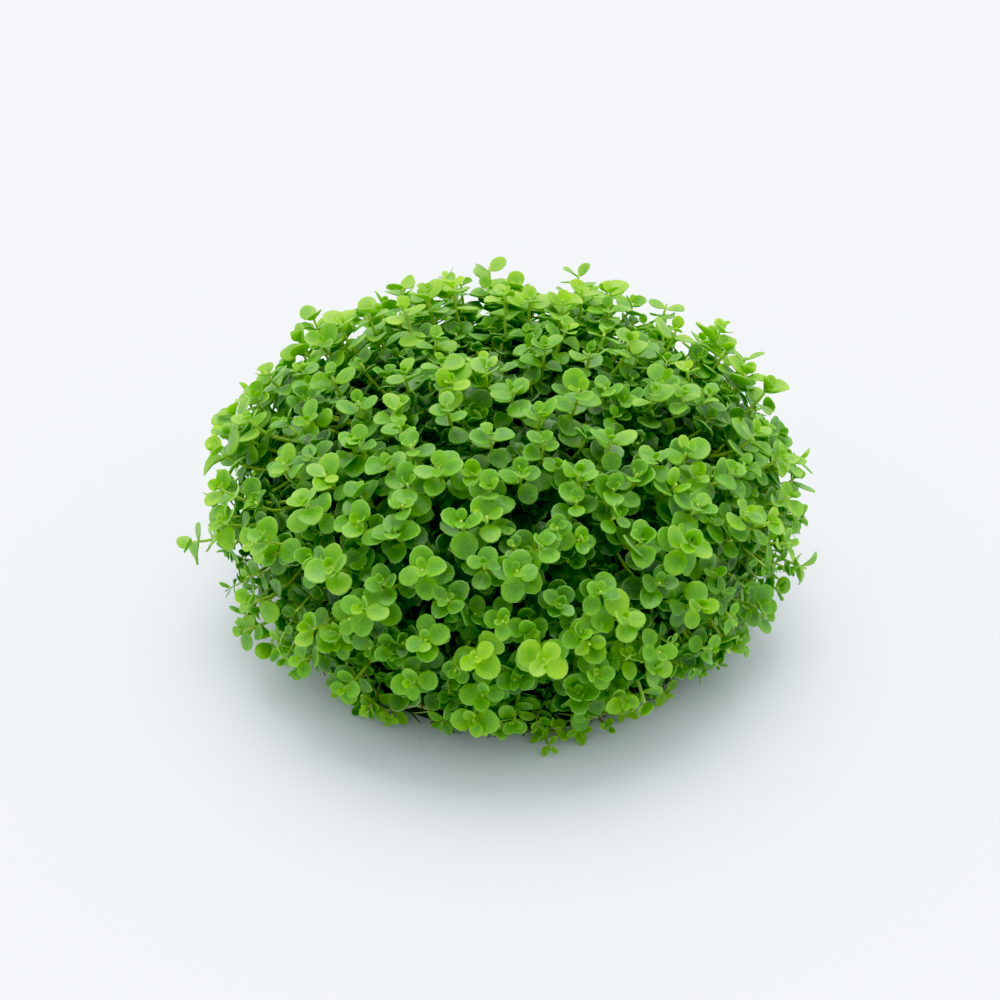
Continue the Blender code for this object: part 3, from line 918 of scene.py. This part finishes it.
# the stems follow their heads' tones, painted light and shade included
stem_tones = np.clip(0.45 + 0.5 * tones, 0.0, 1.0)
for number, place in enumerate(SECTORS):
    mine = np.flatnonzero(sector_of == number)
    own = np.isin(leaves["shoot"], mine)
    own_leaves = {key: value[own] for key, value in leaves.items()}
    parts = shoot_parts(paths[mine], own_leaves, pairs[mine], stem_tones[mine], STEM_RADIUS * slims[mine])
    piece = join_copies(f"shoots_{place}", parts, [leaf_look, stem_look])
    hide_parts("leaf_cushion")
    print(piece.name, len(piece.data.polygons), "faces")

# %% [markdown]
# ## The free sprigs
# Each free sprig has a solid of its own, and its fine shoot keeps that place. The
# foot is read from the solid, and the list gives the rest: bearing, level, length in
# mm, the turn of the leaves and the bend of the stem, both in degrees. The stem ends
# short of that length, because its last leaves reach past it.

# %% Sprigs
TIP_ROOM = 0.7 * MM
SPRIG_SIZE, SPRIG_TONE, SPRIG_STAGE = 1.06, 0.72, 1.6
SPRIGS = [
    (-171, -1, 7.0, 20, 5), (-148, -8, 4.7, 70, -40), (-97, -9, 4.5, 50, -20), (-62, -7, 4.7, 85, -35),
    (-38, -7, 4.3, 30, -30), (-13, -3, 5.7, 60, -8), (40, -8, 4.1, 40, -30), (138, -5, 4.1, 55, -10),
    (-120, 10, 4.1, 80, 0), (-75, 9, 4.1, 25, 5), (3, 9, 4.9, 85, 10), (70, 11, 4.1, 70, 10),
    (119, 10, 4.1, 60, 15), (167, 12, 4.9, 50, 20), (-140, 29, 4.1, 15, 20), (-95, 30, 4.1, 30, 20),
    (-45, 29, 4.1, 75, 15), (17, 24, 5.5, 90, 25), (43, 29, 5.1, 25, 25), (70, 31, 5.1, 65, 20),
    (95, 33, 5.3, 35, 20), (120, 30, 4.7, 5, 25), (146, 27, 5.9, 55, 20),
]


def foot_of(node):
    """The middle of the end of a solid sprig that is nearest to the tuft's middle."""
    points = np.array([vert.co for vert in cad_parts[node].data.vertices])
    away = np.linalg.norm(points - WAIST, axis=-1)
    return points[away < away.min() + 0.35 * MM].mean(0)


for number, (bearing, level, length, turned, bend) in enumerate(SPRIGS, 1):
    name = f"sprig_{number:02d}"
    out = on_form(bearing, level)[1]
    side = unit(np.cross(UP, out))
    lift = np.cross(out, side)
    swing = math.radians(bend)
    heading = out * math.cos(swing) + lift * math.sin(swing)
    foot = foot_of(name)
    head = foot + unit(out + heading) * (length * MM - TIP_ROOM)
    turned = math.radians(turned)
    across = side * math.cos(turned) + lift * math.sin(turned)
    start = start_inside(bearing, level)
    one = [np.array([value]) for value in (head, heading, across, SPRIG_SIZE, SPRIG_TONE, start)]
    parts = shoot_parts(*grow_shoots(*one, SPRIG_STAGE), one[2], np.array([0.9]))
    piece = join_copies(f"{name}_shoot", parts, [leaf_look, stem_look])
    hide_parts(name)
print("sprigs:", len(SPRIGS))

# %% [markdown]
# ## Old stems inside
# Deep in the tuft the stems are bare and matted, and no light comes through. A lumpy
# mound stands for them: an ico sphere drawn onto the form, well in from the leaves,
# and roughened with noise. Its near-black colour is painted shade.

# %% The mound of old stems
OLD_GROWTH_INSET = 9.0 * MM
MAT_HEIGHT = 5.0 * MM
LUMPS, LUMP_HEIGHT = 9.0, 1.1 * MM


def make_old_growth():
    bm = bmesh.new()
    bmesh.ops.create_icosphere(bm, subdivisions=4, radius=1.0)
    for vert in bm.verts:
        at = bearing_and_level(WAIST + np.array(vert.co))
        point, out = on_form(*at, OLD_GROWTH_INSET)
        point = point + out * noise.fractal(vert.co * LUMPS, 0.9, 2.1, 4) * LUMP_HEIGHT
        point[2] = max(point[2], MAT_HEIGHT - 0.2 * MM)
        vert.co = point
    bmesh.ops.recalc_face_normals(bm, faces=bm.faces)
    mesh = bpy.data.meshes.new("old_growth")
    bm.to_mesh(mesh)
    bm.free()
    mesh.shade_smooth()
    mesh.materials.append(old_growth_shade_look)
    piece = add_object("old_growth", mesh)
    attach(piece, "root")
    return piece


old_growth = make_old_growth()
print("old growth:", len(old_growth.data.polygons), "faces")

# %% [markdown]
# Bare old stems climb over the mound, so that a look deep into a gap meets stems and
# not a smooth surface.

# %% Old stems on the mound
OLD_STEMS = 460
STEM_LEVELS = (-22.0, 78.0)
CLIMB = (6.0, 14.0)  # degrees up and down from the middle of a stem

bearing = some(0.0, 360.0, OLD_STEMS)
level = some(*STEM_LEVELS, OLD_STEMS)
climb = some(*CLIMB, OLD_STEMS)
swing = spread(12.0, OLD_STEMS)
inset = OLD_GROWTH_INSET - some(0.0, 1.6, (3, OLD_STEMS)) * MM
start = on_form(bearing - swing, np.maximum(level - climb, LOWEST_LEVEL), inset[0])[0]
control = on_form(bearing, level, inset[1] - 0.8 * MM)[0]
end = on_form(bearing + swing, np.minimum(level + climb, 88.0), inset[2])[0]
tubes = bent_tubes(fine_tube, FINE_RINGS, start, control, end, some(0.14, 0.24, OLD_STEMS), 0.7)
parts = [(fine_tube, tubes, STEM_SLOT, some(0.0, 1.0, OLD_STEMS))]
old_stems = join_copies("old_stems", parts, [old_stem_look, old_stem_look])
print("old stems:", OLD_STEMS)

# %% [markdown]
# ## The root mat and what grows out of its edge
# The mat's solid keeps its shape and gets the dark root finish. Fine roots hang out
# of its side. A place here is a bearing, a distance out from the edge of the mat and
# a height, in mm.

# %% Mat and fine roots
MAT_RADIUS = 26.5 * MM
ROOTS = 640
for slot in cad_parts["root_mat"].material_slots:
    slot.material = mat_look


def mat_edge(bearing):
    turn = np.radians(bearing)
    return MAT_RADIUS * (1.0 + 0.016 * np.sin(3.0 * turn + 0.6) + 0.012 * np.sin(7.0 * turn))


def by_mat(bearing, away, height):
    """Points at distances from the edge of the mat and heights over the table, in mm."""
    flat = direction(bearing, 0.0 * bearing) * (mat_edge(bearing) + away * MM)[..., None]
    return flat + UP * (height * MM)[..., None]


bearing = some(0.0, 360.0, ROOTS)
height = some(0.8, 5.2, ROOTS)
start = by_mat(bearing, -1.0, height)
turned, away = bearing + spread(3.0, ROOTS), some(0.2, 1.4, ROOTS)
end = by_mat(turned, away, np.maximum(height * some(0.05, 0.8, ROOTS), 0.2))
control = by_mat(bearing, some(0.2, 1.8, ROOTS), height)
tubes = bent_tubes(fine_tube, FINE_RINGS, start, control, end, some(0.06, 0.14, ROOTS), 0.6)
parts = [(fine_tube, tubes, STEM_SLOT, some(0.0, 1.0, ROOTS))]
fine_roots = join_copies("fine_roots", parts, [root_look, root_look])
print("fine roots:", ROOTS)

# %% [markdown]
# Each solid runner becomes a thin, wavy creeping stem with a few young shoots on it.
# A row of the list is one runner: the places that it passes.

# %% Runners
RUNNER_RADIUS = 0.34 * MM
YOUNG_SIZE, YOUNG_TONE, YOUNG_SLIM = 0.62, 0.7, 0.75
YOUNG_STEM_RADIUS = 0.18 * MM
LOWEST_RUNNER = 0.45  # mm over the table
RUNNERS = [
    [(-35, 0.2, 3.9), (-46, 1.1, 2.8), (-57, 1.3, 1.6), (-68, 1.1, 0.8), (-80, 1.3, 0.6)],
    [(-110, 0.7, 2.8), (-119, 1.2, 1.6), (-128, 1.4, 0.8), (-138, 1.1, 0.6)],
    [(178, 0.3, 3.2), (169, 1.1, 2.0), (159, 1.4, 0.9), (148, 1.2, 0.6)],
    [(104, 0.7, 2.6), (96, 1.2, 1.4), (86, 1.5, 0.7), (76, 1.2, 0.6)],
    [(34, 0.7, 3.0), (25, 1.2, 1.8), (15, 1.4, 0.8), (5, 1.1, 0.6)],
]
SHOOTS_ON_RUNNER = 4


def wavy_runner(row, wave):
    at = np.linspace(0.0, len(row) - 1.0, STEM_RINGS)
    bearing, away, height = [np.interp(at, np.arange(len(row)), values) for values in zip(*row)]
    away = away + wave * np.sin(at * 4.1 + bearing[0])
    height = np.maximum(height + wave * np.sin(at * 3.3 + 2.0 * bearing[0]), LOWEST_RUNNER)
    return by_mat(bearing, away, height)


for number, row in enumerate(RUNNERS, 1):
    name = f"runner_{number:02d}"
    path = wavy_runner(row, 0.35)
    radii = np.linspace(1.0, 0.6, STEM_RINGS)[None] * RUNNER_RADIUS
    tubes = lay_tubes(stem_tube, path[None], radii, UP[None])
    on_it = path[dice.permutation(STEM_RINGS - 2)[:SHOOTS_ON_RUNNER] + 1]
    out = unit(on_it * (1.0, 1.0, 0.0))
    each, column = np.ones(SHOOTS_ON_RUNNER), (SHOOTS_ON_RUNNER, 1)
    tips = on_it + (out * some(1.2, 3.2, column) + UP * some(0.2, 1.6, column)) * MM
    ahead = unit(out + UP * 0.5 + spread(0.4, out.shape))
    turned = turned_by_chance(ahead)
    grown = grow_shoots(tips, ahead, turned, YOUNG_SIZE * each, YOUNG_TONE * each, on_it, slim=YOUNG_SLIM)
    parts = shoot_parts(*grown, turned, each, YOUNG_STEM_RADIUS)
    parts.append((stem_tube, tubes, STEM_SLOT, np.array([0.7])))
    piece = join_copies(f"{name}_stem", parts, [leaf_look, runner_look])
    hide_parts(name)
print("runners:", len(RUNNERS))

# %% [markdown]
# Thinner creeping stems and stray shoots fill the space under the rim, all in one
# piece. The stray shoots leave the bare stretch of the mat free.

# %% Thin creeping stems and stray shoots
THIN = 34
STRAY = 48
START_INSIDE = -0.8  # mm inside the edge of the mat

bearing = some(0.0, 360.0, THIN)
way = dice.choice([-1.0, 1.0], THIN) * some(6.0, 22.0, THIN)
start = by_mat(bearing, START_INSIDE, some(2.0, 5.0, THIN))
control = by_mat(bearing + 0.5 * way, some(1.0, 4.0, THIN), some(0.8, 4.0, THIN))
end = by_mat(bearing + way, some(0.4, 2.6, THIN), some(0.3, 3.5, THIN))
thin_tubes = bent_tubes(stem_tube, STEM_RINGS, start, control, end, some(0.12, 0.20, THIN), 0.7)

bearing = some(BARE_EDGE[1] - 360.0, BARE_EDGE[0], STRAY)
start = by_mat(bearing, START_INSIDE, some(2.5, 5.0, STRAY))
tips = by_mat(bearing + spread(6.0, STRAY), some(1.5, 5.0, STRAY), some(1.2, 4.0, STRAY))
ahead = unit(unit(tips * (1.0, 1.0, 0.0)) + spread(0.35, tips.shape))
turned = turned_by_chance(ahead)
size, tone = some(0.55, 0.8, STRAY), some(0.5, 0.8, STRAY)
grown = grow_shoots(tips, ahead, turned, size, tone, start, slim=0.7)
parts = shoot_parts(*grown, turned, some(0.4, 1.0, STRAY), YOUNG_STEM_RADIUS)
parts.append((stem_tube, thin_tubes, STEM_SLOT, some(0.2, 1.0, THIN)))
stray = join_copies("stray_shoots", parts, [leaf_look, runner_look])
print("thin creeping stems:", THIN, "stray shoots:", STRAY)

# %% [markdown]
# ## Table, light and colour
# The tuft stands on a plain white table under one large soft light from above and
# slightly behind: a sun lamp as wide as a softbox, which lights the whole table
# evenly. The pale world fills the shadows, most from behind and above.

# %% The table
FLOOR_SIZE = 3.0
FLOOR_WHITE = (0.755, 0.795, 0.85, 1.0)

bm = bmesh.new()
bmesh.ops.create_grid(bm, x_segments=1, y_segments=1, size=FLOOR_SIZE / 2)
floor_mesh = bpy.data.meshes.new("floor")
bm.to_mesh(floor_mesh)
bm.free()
floor_look, _, floor_shader, _ = new_material("table")
plug(floor_shader, Base_Color=FLOOR_WHITE, Roughness=0.6, Specular_IOR_Level=0.1)
floor_mesh.materials.append(floor_look)
floor = add_object("floor", floor_mesh)
print("table, m:", FLOOR_SIZE)

# %% Light
LIGHT_BEARING, LIGHT_LEVEL = 95.0, 70.0
LIGHT_STRENGTH, LIGHT_SPREAD = 2.3, 50.0
PALE_SKY = (0.94, 0.975, 1.0, 1.0)
BRIGHT_SIDE = (0.0, 0.75, 0.66)  # behind and above the tuft
DIMMEST, BRIGHTEST = 0.38, 1.75

lamp = bpy.data.lights.new("top_light", "SUN")
lamp.energy, lamp.angle = LIGHT_STRENGTH, math.radians(LIGHT_SPREAD)
light = add_object("top_light", lamp)
to_tuft = Vector(-direction(LIGHT_BEARING, LIGHT_LEVEL))
light.rotation_euler = to_tuft.to_track_quat("-Z", "Y").to_euler()

world = bpy.data.worlds.new("world")
world.use_nodes = True
bpy.context.scene.world = world
sky = world.node_tree
way = add_node(sky, "TexCoord").outputs["Generated"]
facing = add_node(sky, "VectorMath", operation="DOT_PRODUCT")
plug(facing, i0=way, i1=BRIGHT_SIDE)
brightness = add_node(sky, "MapRange")
plug(brightness, Value=facing.outputs["Value"], From_Min=-1.0, From_Max=1.0)
plug(brightness, To_Min=DIMMEST, To_Max=BRIGHTEST)
plug(sky.nodes["Background"], Color=PALE_SKY, Strength=brightness.outputs["Result"])
print("light:", light.name, "and", world.name)

# %% [markdown]
# A camera keeps a white table from burning out: the film curve eases bright values
# towards white and opens the darks a little, as in the photo.

# %% Film curve
film = bpy.context.scene.view_settings
film.view_transform, film.look = "Standard", "None"
film.use_curve_mapping = True
film.curve_mapping.black_level = (0.014, 0.004, 0.016)
film.curve_mapping.white_level = (1.93, 1.93, 1.93)
curve = film.curve_mapping.curves[3]
curve.points[0].location, curve.points[1].location = (0.0, 0.0), (1.0, 0.97)
for light_in, light_out in ((0.125, 0.25), (0.25, 0.47), (0.5, 0.75), (0.75, 0.90)):
    curve.points.new(light_in, light_out)
film.curve_mapping.update()
print("points of the film curve:", len(curve.points))
